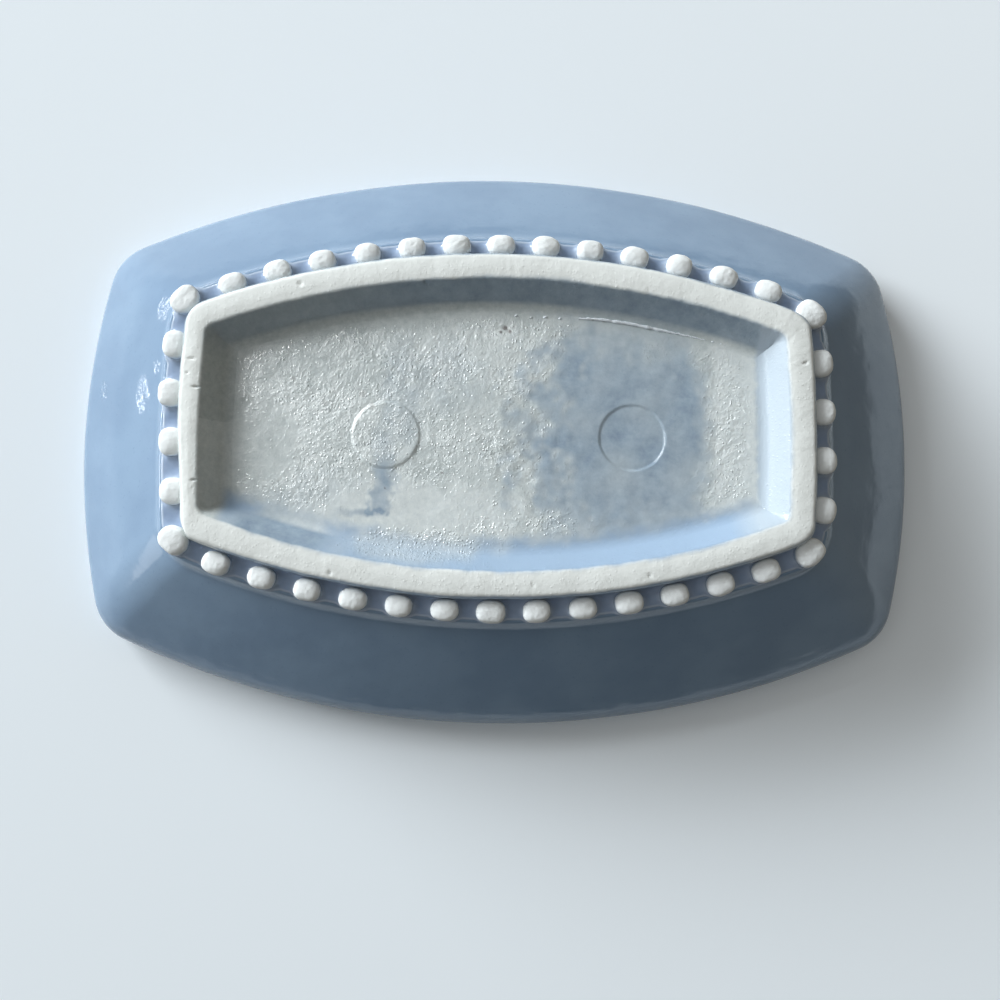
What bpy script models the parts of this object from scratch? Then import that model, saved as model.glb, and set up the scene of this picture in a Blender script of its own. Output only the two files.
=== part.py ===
"""A ceramic soap dish: a bowed, flared dish on a raised foot ring with a row of pearl beads around it.

Units are metres and +Z is up. The origin is under the middle of the dish, on the surface that it stands on.
X runs along the dish, and -Y is its front.
"""
import math

import bmesh
import bpy
from mathutils import Vector

MM = 0.001

# Rim and lip
DISH_LENGTH = 130.0 * MM
DISH_WIDTH = 87.0 * MM
DISH_HEIGHT = 23.0 * MM
RIM_SIDE_RADIUS = 140.6 * MM
RIM_END_RADIUS = 106.0 * MM
RIM_CORNER_RADIUS = 8.3 * MM
LIP_THICKNESS = 4.2 * MM

# How far the foot lies inside the rim, and how far the well's floor does
END_FLARE = 21.0 * MM
SIDE_FLARE = 19.35 * MM
WELL_END_RUN = 19.0 * MM
WELL_SIDE_RUN = 18.5 * MM

# Well
WELL_CORNER_RADIUS = 7.0 * MM
FLOOR_THICKNESS = 5.2 * MM

# Foot ring
FOOT_HEIGHT = 3.3 * MM
FOOT_SIDE_RADIUS = 117.0 * MM
FOOT_END_RADIUS = 200.0 * MM
FOOT_CORNER_RADIUS = 3.5 * MM
FOOT_SIDE_WALL = 3.9 * MM
FOOT_END_WALL = 3.3 * MM
FOOT_INNER_CORNER_RADIUS = 0.6 * MM
FOOT_DRAFT = 3.3 * MM
FOOT_ARRIS = 0.9 * MM

# Beads
BEADS_PER_SIDE = 13
BEADS_PER_END = 4
BEAD_LENGTH = 3.7 * MM
BEAD_WIDTH = 3.2 * MM
BEAD_DROP = 2.0 * MM
CORNER_BEAD_LENGTH = 4.8 * MM
CORNER_BEAD_WIDTH = 3.8 * MM

# Bead band
BAND_THICKNESS = 1.2 * MM
BAND_MARGIN = 0.45 * MM
BAND_SCALLOP = 0.35 * MM
BAND_LEDGE = 1.2 * MM
BAND_ARRIS = 0.4 * MM
BOSS_CORNER_RADIUS = 8.0 * MM
WALL_CORNER_RADIUS = 5.5 * MM

# Pin marks in the base
PIN_DIAMETER = 9.5 * MM
PIN_SPACING = 34.9 * MM
PIN_SHIFT_X = 1.9 * MM
PIN_SHIFT_Y = 1.3 * MM
PIN_RAISED = 0.3 * MM
PIN_SUNK = 0.3 * MM
CUT_OVERRUN = 1.0 * MM

# Drain ribs in the well
RIB_COUNT = 5
RIB_PITCH = 14.0 * MM
RIB_LENGTH = 34.0 * MM
RIB_WIDTH = 4.6 * MM
RIB_HEIGHT = 2.2 * MM
RIB_ROUNDING = 1.9 * MM

# Clearances
SEAT_GAP = 0.3 * MM
BEAD_GAP = 0.35 * MM

# Steps along a quarter outline, and along the curves of the section
SIDE_STEPS = 12
CORNER_STEPS = 7
END_STEPS = 5
WALL_STEPS = 8
LIP_STEPS = 8
WELL_STEPS = 8
SCALLOP_STEPS = 4
BEAD_SEGMENTS = 14
BEAD_RINGS = 8
PIN_SEGMENTS = 32
RIB_SEGMENTS = 4
SMOOTH_ANGLE = math.radians(40)

# How far the walls' curves bulge, from a straight slope at 0 to a quarter of an ellipse at 1
WALL_BULGE_SHARE = 0.55
WELL_BULGE_SHARE = 0.75

# Section of the foot ring: across its wall from the outside, and up from the resting face
ARRIS_TURN_SHARES = ((0.0, 1.0), (0.29, 0.29), (1.0, 0.0))

FOOT_LENGTH = DISH_LENGTH - 2 * END_FLARE
FOOT_WIDTH = DISH_WIDTH - 2 * SIDE_FLARE
WELL_FLOOR_LENGTH = DISH_LENGTH - 2 * WELL_END_RUN
WELL_FLOOR_WIDTH = DISH_WIDTH - 2 * WELL_SIDE_RUN
BASE_Z = FOOT_HEIGHT + SEAT_GAP
BOSS_HEIGHT = SEAT_GAP + BAND_THICKNESS
LIP_RADIUS = LIP_THICKNESS / 2
BEAD_LINE_OFFSET = BEAD_GAP + BEAD_WIDTH / 2


def mix(start, stop, share):
    return start + (stop - start) * share


class Outline:
    """A closed outline of four bowed sides, with rounded corners, centred on the origin."""

    def __init__(self, length, width, side_radius, end_radius, corner_radius):
        self.half_x = length / 2
        self.half_y = width / 2
        self.side_radius = side_radius
        self.end_radius = end_radius
        self.corner_radius = corner_radius

    def grown(self, distance):
        """The parallel outline that lies `distance` further out."""
        return Outline(2 * (self.half_x + distance), 2 * (self.half_y + distance),
                       self.side_radius + distance, self.end_radius + distance,
                       self.corner_radius + distance)

    def between(self, other, share):
        """An outline part of the way to another one."""
        return Outline(2 * mix(self.half_x, other.half_x, share),
                       2 * mix(self.half_y, other.half_y, share),
                       mix(self.side_radius, other.side_radius, share),
                       mix(self.end_radius, other.end_radius, share),
                       mix(self.corner_radius, other.corner_radius, share))

    def side_centre(self):
        return Vector((0, self.half_y - self.side_radius))

    def end_centre(self):
        return Vector((self.half_x - self.end_radius, 0))

    def corner_centre(self):
        """Where the corner's arc has its centre: it touches the side's arc and the end's arc."""
        side, end = self.side_centre(), self.end_centre()
        reach_side = self.side_radius - self.corner_radius
        reach_end = self.end_radius - self.corner_radius
        line = end - side
        apart = line.length
        along = (apart ** 2 + reach_side ** 2 - reach_end ** 2) / (2 * apart)
        across = math.sqrt(reach_side ** 2 - along ** 2)
        direction = line / apart
        normal = Vector((direction.y, -direction.x))
        return side + direction * along + normal * across

    def side_y(self, x):
        """How far out the side lies at a place along the dish."""
        return self.side_centre().y + math.sqrt(self.side_radius ** 2 - x ** 2)

    def end_x(self, y):
        """How far out the end lies at a place across the dish."""
        return self.end_centre().x + math.sqrt(self.end_radius ** 2 - y ** 2)

    def quarter(self):
        """The points from the middle of the end to just before the middle of the side."""
        side, end, corner = self.side_centre(), self.end_centre(), self.corner_centre()
        end_angle = math.atan2(corner.y - end.y, corner.x - end.x)
        side_angle = math.atan2(corner.y - side.y, corner.x - side.x)
        points = arc(end, self.end_radius, 0, end_angle, END_STEPS)
        points += arc(corner, self.corner_radius, end_angle, side_angle, CORNER_STEPS)
        points += arc(side, self.side_radius, side_angle, math.pi / 2, SIDE_STEPS)
        return points

    def points(self, z):
        """All the points, counter-clockwise from the middle of the +X end, at height z."""
        quarter = self.quarter()
        middle = Vector((0, self.half_y))
        left = [Vector((-p.x, p.y)) for p in reversed(quarter[1:])]
        upper = quarter + [middle] + left
        tip = Vector((-self.half_x, 0))
        lower = [Vector((-p.x, -p.y)) for p in upper]
        return at_height(upper + [tip] + lower[1:], z)


def at_height(points, z):
    return [Vector((p.x, p.y, z)) for p in points]


def arc(centre, radius, start, stop, steps):
    """Points on an arc, without its last one."""
    angles = [start + (stop - start) * i / steps for i in range(steps)]
    return [centre + radius * Vector((math.cos(a), math.sin(a))) for a in angles]


def curve_shares(share_along, bulge_share):
    """Shares of the run and of the rise along a wall that starts out flat and ends upright."""
    angle = share_along * math.pi / 2
    run = bulge_share * math.sin(angle) + (1 - bulge_share) * share_along
    rise = bulge_share * (1 - math.cos(angle)) + (1 - bulge_share) * share_along
    return run, rise


def material(name, colour, roughness):
    made = bpy.data.materials.new(name)
    made.use_nodes = True
    shader = made.node_tree.nodes["Principled BSDF"]
    shader.inputs["Base Color"].default_value = (*colour, 1)
    shader.inputs["Roughness"].default_value = roughness
    shader.inputs["Metallic"].default_value = 0
    return made


def finish_mesh(name, bm):
    """Turns a bmesh into a mesh whose faces point out and whose round faces look smooth."""
    bmesh.ops.recalc_face_normals(bm, faces=bm.faces)
    mesh = bpy.data.meshes.new(name)
    bm.to_mesh(mesh)
    bm.free()
    mesh.shade_smooth()
    mesh.set_sharp_from_angle(angle=SMOOTH_ANGLE)
    return mesh


def loft_mesh(name, loops, ring=False):
    """Skins a row of loops; a ring's last loop meets its first, and other lofts are capped."""
    bm = bmesh.new()
    rows = [[bm.verts.new(point) for point in loop] for loop in loops]
    pairs = list(zip(rows, rows[1:]))
    if ring:
        pairs.append((rows[-1], rows[0]))
    else:
        bm.faces.new(rows[0])
        bm.faces.new(rows[-1])
    for low, high in pairs:
        for i in range(len(low)):
            j = (i + 1) % len(low)
            bm.faces.new((low[i], low[j], high[j], high[i]))
    return finish_mesh(name, bm)


def add_part(name, mesh, finish, place=(0, 0, 0), turn=0.0):
    """Adds a named piece to the dish, in the place given."""
    if not mesh.materials:
        mesh.materials.append(finish)
    piece = bpy.data.objects.new(name, mesh)
    parts.objects.link(piece)
    piece.parent = origin
    piece.location = place
    piece.rotation_euler = (0, 0, turn)
    return piece


def add_pin(name, x, thickness, z_middle):
    """Adds a disc to the cutters, for a pin mark in the base."""
    bm = bmesh.new()
    bmesh.ops.create_cone(bm, cap_ends=True, segments=PIN_SEGMENTS, radius1=PIN_DIAMETER / 2,
                          radius2=PIN_DIAMETER / 2, depth=thickness)
    disc = bpy.data.objects.new(name, finish_mesh(name, bm))
    cutters.objects.link(disc)
    disc.location = (x, PIN_SHIFT_Y, z_middle)
    disc.hide_render = True
    disc.display_type = "WIRE"
    return disc


def merge_pin(body, disc, operation):
    step = body.modifiers.new(disc.name, "BOOLEAN")
    step.operation = operation
    step.object = disc
    step.solver = "EXACT"


def foot_outline():
    return Outline(FOOT_LENGTH, FOOT_WIDTH, FOOT_SIDE_RADIUS, FOOT_END_RADIUS, FOOT_CORNER_RADIUS)


def wall_start_outline():
    """Where the flared wall leaves the bead band, flush with the band's edge."""
    start = foot_outline().grown(BEAD_LINE_OFFSET + BEAD_WIDTH / 2 + BAND_MARGIN)
    start.corner_radius = WALL_CORNER_RADIUS
    return start


def rim_outline():
    return Outline(DISH_LENGTH, DISH_WIDTH, RIM_SIDE_RADIUS, RIM_END_RADIUS, RIM_CORNER_RADIUS)


def make_body():
    """The pressed dish: a boss under its floor, a flared wall, a round lip and the well."""
    boss = foot_outline().grown(BEAD_LINE_OFFSET - BAND_LEDGE - SEAT_GAP)
    boss.corner_radius = BOSS_CORNER_RADIUS
    start = wall_start_outline()
    rim = rim_outline()
    lip_z = DISH_HEIGHT - LIP_RADIUS - BASE_Z
    loops = [boss.points(0), boss.points(BOSS_HEIGHT)]
    for i in range(WALL_STEPS):
        run, rise = curve_shares(i / WALL_STEPS, WALL_BULGE_SHARE)
        z = BOSS_HEIGHT + (lip_z - BOSS_HEIGHT) * rise
        loops.append(start.between(rim, run).points(z))
    for i in range(LIP_STEPS + 1):
        angle = math.pi * i / LIP_STEPS
        loops.append(rim.grown(LIP_RADIUS * (math.cos(angle) - 1)).points(lip_z + LIP_RADIUS * math.sin(angle)))
    inner_rim = rim.grown(-LIP_THICKNESS)
    floor = Outline(WELL_FLOOR_LENGTH, WELL_FLOOR_WIDTH, RIM_SIDE_RADIUS, RIM_END_RADIUS,
                    WELL_CORNER_RADIUS)
    for i in range(WELL_STEPS - 1, -1, -1):
        run, rise = curve_shares(i / WELL_STEPS, WELL_BULGE_SHARE)
        z = FLOOR_THICKNESS + (lip_z - FLOOR_THICKNESS) * rise
        loops.append(floor.between(inner_rim, run).points(z))
    body = add_part("dish_body", loft_mesh("dish_body", loops), blue_glaze, (0, 0, BASE_Z))
    raised = add_pin("raised_pin", PIN_SHIFT_X - PIN_SPACING / 2, PIN_RAISED + CUT_OVERRUN,
                     BASE_Z + (CUT_OVERRUN - PIN_RAISED) / 2)
    sunk = add_pin("sunk_pin", PIN_SHIFT_X + PIN_SPACING / 2, PIN_SUNK + CUT_OVERRUN,
                   BASE_Z + (PIN_SUNK - CUT_OVERRUN) / 2)
    merge_pin(body, raised, "UNION")
    merge_pin(body, sunk, "DIFFERENCE")


def make_foot_ring():
    """The frame that the dish stands on: round arrises, an upright outside, a sloping inside."""
    outside = foot_outline()
    inside = Outline(FOOT_LENGTH - 2 * FOOT_END_WALL, FOOT_WIDTH - 2 * FOOT_SIDE_WALL,
                     FOOT_SIDE_RADIUS - FOOT_SIDE_WALL, FOOT_END_RADIUS - FOOT_END_WALL,
                     FOOT_INNER_CORNER_RADIUS)
    loops = [outside.points(FOOT_HEIGHT)]
    for share_in, share_up in ARRIS_TURN_SHARES:
        loops.append(outside.grown(-share_in * FOOT_ARRIS).points(share_up * FOOT_ARRIS))
    for share_out, share_up in reversed(ARRIS_TURN_SHARES):
        loop = inside.grown(share_out * FOOT_ARRIS)
        loops.append(loop.points(share_up * FOOT_ARRIS))
    slope_top = inside.grown(-FOOT_DRAFT)
    slope_top.corner_radius = FOOT_INNER_CORNER_RADIUS
    loops.append(slope_top.points(FOOT_HEIGHT))
    add_part("foot_ring", loft_mesh("foot_ring", loops, ring=True), wiped_clay)


def bead_mesh(name, length, width):
    """Half a pearl, round side down, flat where it meets the band."""
    bm = bmesh.new()
    bmesh.ops.create_uvsphere(bm, u_segments=BEAD_SEGMENTS, v_segments=BEAD_RINGS, radius=1.0)
    cut = bmesh.ops.bisect_plane(bm, geom=bm.verts[:] + bm.edges[:] + bm.faces[:],
                                 plane_co=(0, 0, 0), plane_no=(0, 0, 1), clear_outer=True)
    rim = [e for e in cut["geom_cut"] if isinstance(e, bmesh.types.BMEdge)]
    bmesh.ops.holes_fill(bm, edges=rim)
    bmesh.ops.scale(bm, vec=(length / 2, width / 2, BEAD_DROP), verts=bm.verts)
    return finish_mesh(name, bm)


def bead_places():
    """The beads in order around the foot, each with its place, its way out and its name."""
    line = foot_outline().grown(BEAD_LINE_OFFSET)
    foot = foot_outline()
    reach = FOOT_CORNER_RADIUS + BEAD_GAP + CORNER_BEAD_WIDTH / 2
    corner_way = Vector((1, 1)).normalized()
    corner = foot.corner_centre() + corner_way * reach
    side_pitch = 2 * corner.x / (BEADS_PER_SIDE + 1)
    end_pitch = 2 * corner.y / (BEADS_PER_END + 1)
    places = []
    # Each run starts at a corner and goes counter-clockwise from the front right one
    for sign, end_name, corner_name in ((1, "right", "front_right"), (-1, "left", "back_left")):
        places.append((Vector((sign * corner.x, -sign * corner.y)), Vector((sign, -sign)).normalized(),
                       "bead_corner_" + corner_name))
        for i in range(1, BEADS_PER_END + 1):
            y = sign * (i * end_pitch - corner.y)
            place = Vector((sign * line.end_x(y), y))
            way = Vector((place.x - sign * line.end_centre().x, y)).normalized()
            places.append((place, way, f"bead_{end_name}_{i}"))
        next_name = "back_right" if sign > 0 else "front_left"
        places.append((Vector((sign * corner.x, sign * corner.y)), Vector((sign, sign)).normalized(),
                       "bead_corner_" + next_name))
        side_name = "back" if sign > 0 else "front"
        for i in range(1, BEADS_PER_SIDE + 1):
            x = sign * (corner.x - i * side_pitch)
            place = Vector((x, sign * line.side_y(x)))
            way = Vector((x, place.y - sign * line.side_centre().y)).normalized()
            places.append((place, way, f"bead_{side_name}_{i:02d}"))
    return places


def make_beads():
    """The pearls: 13 on each long side, 4 on each end and a larger one at each corner."""
    small = bead_mesh("bead", BEAD_LENGTH, BEAD_WIDTH)
    large = bead_mesh("corner_bead", CORNER_BEAD_LENGTH, CORNER_BEAD_WIDTH)
    for place, way, name in bead_places():
        mesh = large if "corner" in name else small
        turn = math.atan2(way.y, way.x) - math.pi / 2
        add_part(name, mesh, wiped_clay, (place.x, place.y, FOOT_HEIGHT), turn)


def bead_width(name):
    return CORNER_BEAD_WIDTH if "corner" in name else BEAD_WIDTH


def make_bead_band():
    """The narrow glazed ledge that carries the beads; its edge swells at each of them."""
    beads = bead_places()
    inner, ledge, outer = [], [], []
    for index, (place, way, name) in enumerate(beads):
        next_place, next_way, next_name = beads[(index + 1) % len(beads)]
        for step in range(SCALLOP_STEPS):
            share = step / SCALLOP_STEPS
            middle = place.lerp(next_place, share)
            out = way.lerp(next_way, share).normalized()
            width = mix(bead_width(name), bead_width(next_name), share)
            dip = BAND_SCALLOP * (1 - math.cos(2 * math.pi * share)) / 2
            reach = width / 2 + BAND_MARGIN - dip
            inner.append(middle - out * BAND_LEDGE)
            ledge.append(middle + out * (reach - BAND_ARRIS))
            outer.append(middle + out * reach)
    loops = [at_height(inner, BAND_THICKNESS), at_height(inner, 0), at_height(ledge, 0),
             at_height(outer, BAND_ARRIS), at_height(outer, BAND_THICKNESS)]
    add_part("bead_band", loft_mesh("bead_band", loops, ring=True), blue_glaze, (0, 0, BASE_Z))


def make_ribs():
    """Low rounded bars across the well's floor, which keep the soap out of the water."""
    bm = bmesh.new()
    bmesh.ops.create_cube(bm, size=1.0)
    bmesh.ops.translate(bm, vec=(0, 0, 0.5), verts=bm.verts)
    bmesh.ops.scale(bm, vec=(RIB_WIDTH, RIB_LENGTH, RIB_HEIGHT), verts=bm.verts)
    upper = [e for e in bm.edges if any(v.co.z > 0 for v in e.verts)]
    bmesh.ops.bevel(bm, geom=upper, offset=RIB_ROUNDING, offset_type="OFFSET", segments=RIB_SEGMENTS,
                    profile=0.5, affect="EDGES", material=-1)
    mesh = finish_mesh("drain_rib", bm)
    for i in range(RIB_COUNT):
        x = (i - (RIB_COUNT - 1) / 2) * RIB_PITCH
        add_part(f"drain_rib_{i + 1}", mesh, blue_glaze, (x, 0, BASE_Z + FLOOR_THICKNESS + SEAT_GAP))


for old in list(bpy.data.objects):
    bpy.data.objects.remove(old, do_unlink=True)

parts = bpy.data.collections.new("ceramic_soap_dish")
cutters = bpy.data.collections.new("cutters")
bpy.context.scene.collection.children.link(parts)
bpy.context.scene.collection.children.link(cutters)
origin = bpy.data.objects.new("dish_origin", None)
parts.objects.link(origin)

blue_glaze = material("blue_glaze", (0.32, 0.46, 0.62), 0.15)
wiped_clay = material("wiped_clay", (0.80, 0.80, 0.76), 0.6)

make_body()
make_foot_ring()
make_beads()
make_bead_band()
make_ribs()
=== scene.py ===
"""The ceramic soap dish: a glazed dish on a wiped foot ring with pearls, seen from under its foot.

Units are metres, in the CAD's own frame: +Z is up and the dish stands on Z = 0.
"""
import math

import bmesh
import bpy
from mathutils import Matrix, Vector, noise


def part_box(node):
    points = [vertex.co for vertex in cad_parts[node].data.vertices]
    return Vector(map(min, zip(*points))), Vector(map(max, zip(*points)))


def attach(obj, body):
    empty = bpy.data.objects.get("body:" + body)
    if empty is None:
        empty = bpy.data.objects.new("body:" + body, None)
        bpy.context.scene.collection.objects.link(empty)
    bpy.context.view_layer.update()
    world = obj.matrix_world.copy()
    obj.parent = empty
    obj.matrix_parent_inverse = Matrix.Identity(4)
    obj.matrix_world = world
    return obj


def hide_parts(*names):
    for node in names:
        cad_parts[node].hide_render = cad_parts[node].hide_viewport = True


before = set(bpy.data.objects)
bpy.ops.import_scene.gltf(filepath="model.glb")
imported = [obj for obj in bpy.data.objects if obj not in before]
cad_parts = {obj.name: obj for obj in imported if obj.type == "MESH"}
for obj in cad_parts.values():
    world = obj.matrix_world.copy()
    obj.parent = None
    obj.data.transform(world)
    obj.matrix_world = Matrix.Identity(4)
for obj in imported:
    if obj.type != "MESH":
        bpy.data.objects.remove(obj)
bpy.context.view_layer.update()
MM = 0.001


# Camera: a phone held almost straight over a dish that lies upside down. Here the dish stands on its foot,
# so the camera is under it and looks up, and the picture's right and down are +X and +Y.
SENSOR_WIDTH = 36.0
LENS_PER_SENSOR = 0.963
CAMERA_PLACE = Vector((0.42, 24.392, -131.366)) * MM
CAMERA_RIGHT = Vector((0.9998975, -0.01361692, -0.00442321))
CAMERA_DOWN = Vector((0.01399948, 0.99460703, 0.10276612))
camera_data = bpy.data.cameras.new("camera")
camera_data.sensor_width = SENSOR_WIDTH
camera_data.lens = LENS_PER_SENSOR * SENSOR_WIDTH
camera_data.clip_start = 10 * MM
camera = bpy.data.objects.new("camera", camera_data)
bpy.context.scene.collection.objects.link(camera)
camera_axes = Matrix((CAMERA_RIGHT, -CAMERA_DOWN, -CAMERA_RIGHT.cross(CAMERA_DOWN))).transposed()
camera.matrix_world = Matrix.Translation(CAMERA_PLACE) @ camera_axes.to_4x4()
bpy.context.scene.camera = camera


# Dish: one shell of white clay, pressed in a die and dipped in powder-blue glaze. Its flared wall, round lip
# and well are formed together, and the glaze runs thin and pale over the lip.
#
# An outline is a half length, a half width, and the radii of its sides, ends and corners.
RIM = tuple(v * MM for v in (65.0, 43.5, 140.6, 106.0, 8.3))
FOOT = tuple(v * MM for v in (44.0, 24.15, 117.0, 200.0, 3.5))
WELL_FLOOR = tuple(v * MM for v in (46.0, 25.0, 140.6, 106.0, 7.0))
WALL_START_OUT = 4.0 * MM
WALL_START_CORNER = 7.0 * MM
WALL_START_Z = 5.1 * MM
LIP_Z = 20.9 * MM
LIP_RADIUS = 2.1 * MM
WELL_FLOOR_Z = 8.8 * MM
WELL_BULGE = 0.75
# Shares of the wall's run between which it is nearly a cone, and how steep and how curved it is there.
FILLET_END = 0.06
CONE_END = 0.9
WALL_STEEPNESS = 0.76
WALL_CURVE = 0.085
# The groove under the wall: how far out from the wall's start and how high, in millimetres.
GROOVE = ((-1.05, 4.0), (-1.0, 3.78), (-0.94, 3.69), (-0.86, 3.66), (-0.62, 3.68), (-0.38, 3.95),
          (-0.12, 4.5), (0.15, 5.0), (0.5, 5.42))
SHELL_START_Z = 4.3 * MM
# The middle and the half sizes of each crawled spot, in millimetres; all lie on the wall, below the lip.
CRAWLED_SPOTS = (((-52.0, -5.2), (1.4, 3.2)), ((-60.4, -6.6), (0.9, 1.6)), ((-48.8, -17.4), (1.3, 2.4)),
                 ((-49.3, -8.6), (0.8, 1.6)))
CRAWLED_BELOW_Z = 18 * MM
WALL_STEPS = 30
EDGE_STEPS = 12
LIP_STEPS = 16
WELL_STEPS = 30
RING_STEPS = 480
# Shares of a quarter turn at which an outline's end arc and its corner arc stop.
END_STOP = 0.28
CORNER_STOP = 0.42
DOUBLES = 0.001 * MM


def grown(outline, distance):
    """The parallel outline that lies `distance` further out."""
    return tuple(value + distance for value in outline)


def between(first, second, share):
    """The outline a share of the way from the first to the second."""
    return tuple(a + (b - a) * share for a, b in zip(first, second))


def spot(outline, turn):
    """The place on an outline after `turn` quarter turns from the middle of its +X end."""
    half_x, half_y, side, end, corner = outline
    side_y, end_x = half_y - side, half_x - end
    apart = math.hypot(end_x, side_y)
    along = (apart ** 2 + (side - corner) ** 2 - (end - corner) ** 2) / (2 * apart)
    across = math.sqrt((side - corner) ** 2 - along ** 2)
    way = Vector((end_x, -side_y)) / apart
    middle = Vector((0, side_y)) + way * along + Vector((way.y, -way.x)) * across
    first = math.atan2(middle.y, middle.x - end_x)
    second = math.atan2(middle.y - side_y, middle.x)
    share = turn % 1 if turn % 2 < 1 else 1 - turn % 1
    if share < END_STOP:
        angle, centre, radius = first * share / END_STOP, Vector((end_x, 0)), end
    elif share < CORNER_STOP:
        angle = first + (second - first) * (share - END_STOP) / (CORNER_STOP - END_STOP)
        centre, radius = middle, corner
    else:
        angle = second + (math.pi / 2 - second) * (share - CORNER_STOP) / (1 - CORNER_STOP)
        centre, radius = Vector((0, side_y)), side
    place = centre + radius * Vector((math.cos(angle), math.sin(angle)))
    return Vector((-place.x if 1 <= turn % 4 < 3 else place.x, -place.y if turn % 4 >= 2 else place.y))


def sweep(bm, rings, steps=RING_STEPS):
    """Extrudes a circle from ring to ring; a ring is a function that gives a place for each turn."""
    turn = bm.verts.layers.float.new("turn")
    row = bm.verts.layers.float.new("row")
    verts = bmesh.ops.create_circle(bm, segments=steps, radius=1.0)["verts"]
    for index, vert in enumerate(verts):
        vert[turn] = 4 * index / steps
    edges = list({edge for vert in verts for edge in vert.link_edges})
    for number, ring in enumerate(rings):
        if number:
            made = bmesh.ops.extrude_edge_only(bm, edges=edges)["geom"]
            verts = [item for item in made if isinstance(item, bmesh.types.BMVert)]
            edges = [item for item in made if isinstance(item, bmesh.types.BMEdge)]
        for vert in verts:
            vert.co = ring(vert[turn])
            vert[row] = number


def level(outline, z):
    """A flat ring on an outline."""
    return lambda turn: spot(outline, turn).to_3d() + Vector((0, 0, z))


def wall_rise(run):
    """How far the outer wall has risen at a share of its run: nearly a cone, a little fuller outwards."""
    return WALL_STEEPNESS * run + WALL_CURVE * run * run


def corner_between(first, middle, last, share):
    """A point on the round corner from `first` to `last`, whose straight sides would meet at `middle`."""
    return tuple(a * (1 - share) ** 2 + b * 2 * share * (1 - share) + c * share ** 2
                 for a, b, c in zip(first, middle, last))


def well_shares(share):
    """How far the well's wall has run out and risen, from flat at 0 to upright at 1."""
    angle = share * math.pi / 2
    run = WELL_BULGE * math.sin(angle) + (1 - WELL_BULGE) * share
    rise = WELL_BULGE * (1 - math.cos(angle)) + (1 - WELL_BULGE) * share
    return run, rise


def swell(bm, depth, size, seed, where=lambda place: 1.0):
    """Moves the surface in and out by up to `depth` times `where`, in swells about `size` across."""
    bm.normal_update()
    shift = Vector((seed, seed * 0.7, -seed))
    for vert in bm.verts:
        vert.co += vert.normal * (depth * where(vert.co) * noise.noise(vert.co / size + shift))


def add_piece(bm, name, material):
    """Turns a bmesh into an object of the scene."""
    mesh = bpy.data.meshes.new(name)
    bm.to_mesh(mesh)
    bm.free()
    mesh.materials.append(material)
    piece = bpy.data.objects.new(name, mesh)
    bpy.context.scene.collection.objects.link(piece)
    return piece


def finish_piece(bm, name, material):
    """Turns a bmesh into a smooth piece of the dish, with its faces pointing out."""
    bmesh.ops.remove_doubles(bm, verts=bm.verts, dist=DOUBLES)
    bmesh.ops.recalc_face_normals(bm, faces=bm.faces)
    piece = add_piece(bm, name, material)
    piece.data.shade_smooth()
    return piece


def colour(code):
    """An sRGB hex colour in linear light."""
    parts = [int(code[i:i + 2], 16) / 255 for i in (1, 3, 5)]
    return tuple(c / 12.92 if c <= 0.04045 else ((c + 0.055) / 1.055) ** 2.4 for c in parts) + (1.0,)


def add_node(material, kind, inputs, output=0, **settings):
    """Adds a node to a material or the world, with its inputs, which are values or other nodes' outputs."""
    node = material.node_tree.nodes.new("ShaderNode" + kind)
    for name, value in settings.items():
        setattr(node, name, value)
    for key, value in inputs.items():
        if isinstance(value, bpy.types.NodeSocket):
            material.node_tree.links.new(value, node.inputs[key])
        else:
            node.inputs[key].default_value = value
    return node.outputs[output] if node.outputs else node


def new_material(name):
    """An empty node material, and its object coordinates in millimetres."""
    material = bpy.data.materials.new(name)
    material.use_nodes = True
    material.node_tree.nodes.clear()
    place = add_node(material, "TexCoord", {}, "Object")
    place = add_node(material, "VectorMath", {0: place, 1: (1 / MM,) * 3}, operation="MULTIPLY")
    return material, place


def ramp(value, start, stop):
    """Smoothly from 0 at start to 1 at stop."""
    share = min(1.0, max(0.0, (value - start) / (stop - start)))
    return share * share * (3 - 2 * share)


def ripple(x, y, size, seed=0.0):
    """Smooth noise from about -1 to 1 over millimetres, in swells about `size` across."""
    return noise.noise(Vector((x / size, y / size, seed)))


def blot(x, y, middle, half):
    """An oval patch with a soft ragged edge, from its middle and half sizes: 1 inside it and 0 outside."""
    far = math.hypot((x - middle[0]) / half[0], (y - middle[1]) / half[1])
    return 1 - ramp(far + 0.3 * ripple(x, y, 3.0, 21.0), 0.55, 1.2)


# Powder-blue stoneware glaze, dipped and fired glossy: slow clouds where it lies thicker, fine dark specks,
# and a pale line where it runs thin over the lip. A faint unevenness bends its reflections, and crawled
# spots, 3 to 6 mm long, break the window's reflection into small glints.
dish_glaze, place = new_material("dipped_powder_blue_glaze")
clouds = add_node(dish_glaze, "TexNoise", {"Vector": place, "Scale": 0.07, "Detail": 3.0,
                                           "Roughness": 0.55})
clouds = add_node(dish_glaze, "MapRange", {"Value": clouds, "From Min": 0.35, "From Max": 0.65},
                  interpolation_type="SMOOTHSTEP")
tint = add_node(dish_glaze, "Mix", {0: clouds, 6: colour("#8298b0"), 7: colour("#8ba1b8")}, 2,
                data_type="RGBA")
specks = add_node(dish_glaze, "TexNoise", {"Vector": place, "Scale": 2.2, "Detail": 2.0, "Roughness": 0.6})
specks = add_node(dish_glaze, "MapRange", {"Value": specks, "From Min": 0.62, "From Max": 0.75,
                                           "To Max": 0.35})
tint = add_node(dish_glaze, "Mix", {0: specks, 6: tint, 7: colour("#6f869f")}, 2, data_type="RGBA")
height = add_node(dish_glaze, "SeparateXYZ", {0: place}, "Z")
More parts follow.
